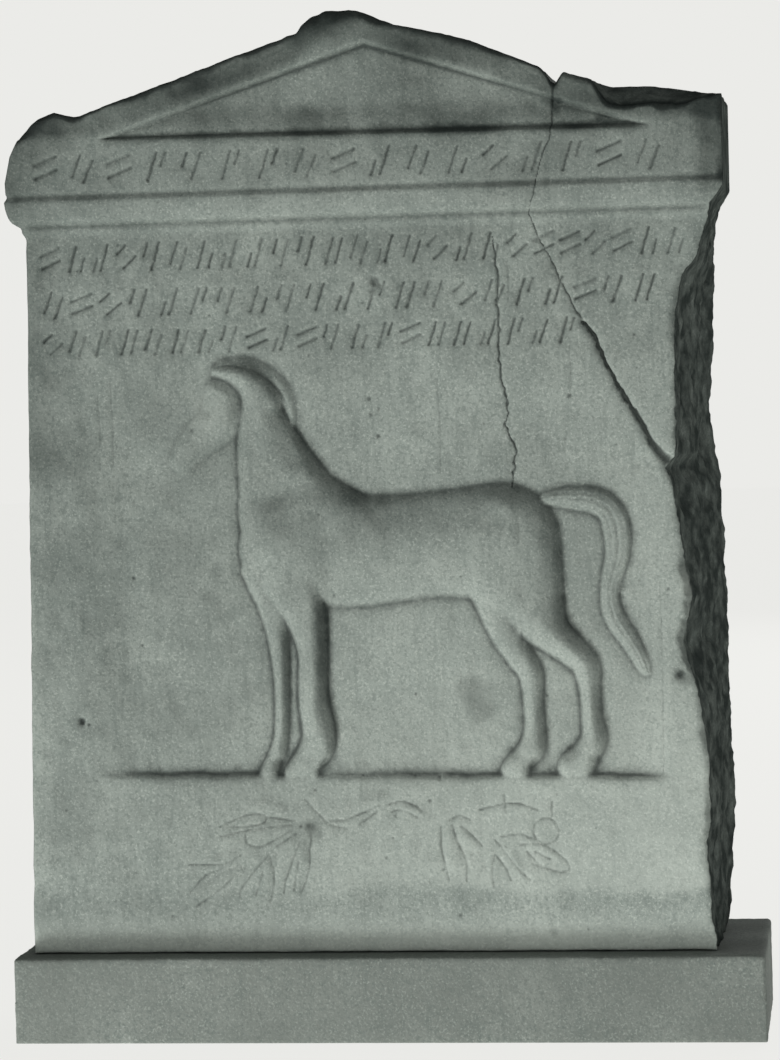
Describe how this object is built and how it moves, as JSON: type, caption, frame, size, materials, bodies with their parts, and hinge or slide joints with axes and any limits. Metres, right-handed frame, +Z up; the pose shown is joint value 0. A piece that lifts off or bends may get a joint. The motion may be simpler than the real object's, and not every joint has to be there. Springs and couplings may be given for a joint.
{
  "type": "carved stone stele",
  "caption": "Small carved marble stele on a low plinth: tapering slab, moulded crown and pediment, standing horse in low relief, broken right edge and mended corner.",
  "frame": {"origin": "middle of the plinth's underside", "axes": "+Z up, +X to the right as one faces the relief, +Y into the stone, so the relief faces -Y"},
  "size_m": [0.341, 0.104, 0.4635],
  "materials": {
    "stele_marble": "weathered, matt",
    "plinth_marble": "tooled flat, matt"
  },
  "bodies": {
    "root": {"stele": "stele_marble", "plinth": "plinth_marble"}
  },
  "joints": []
}
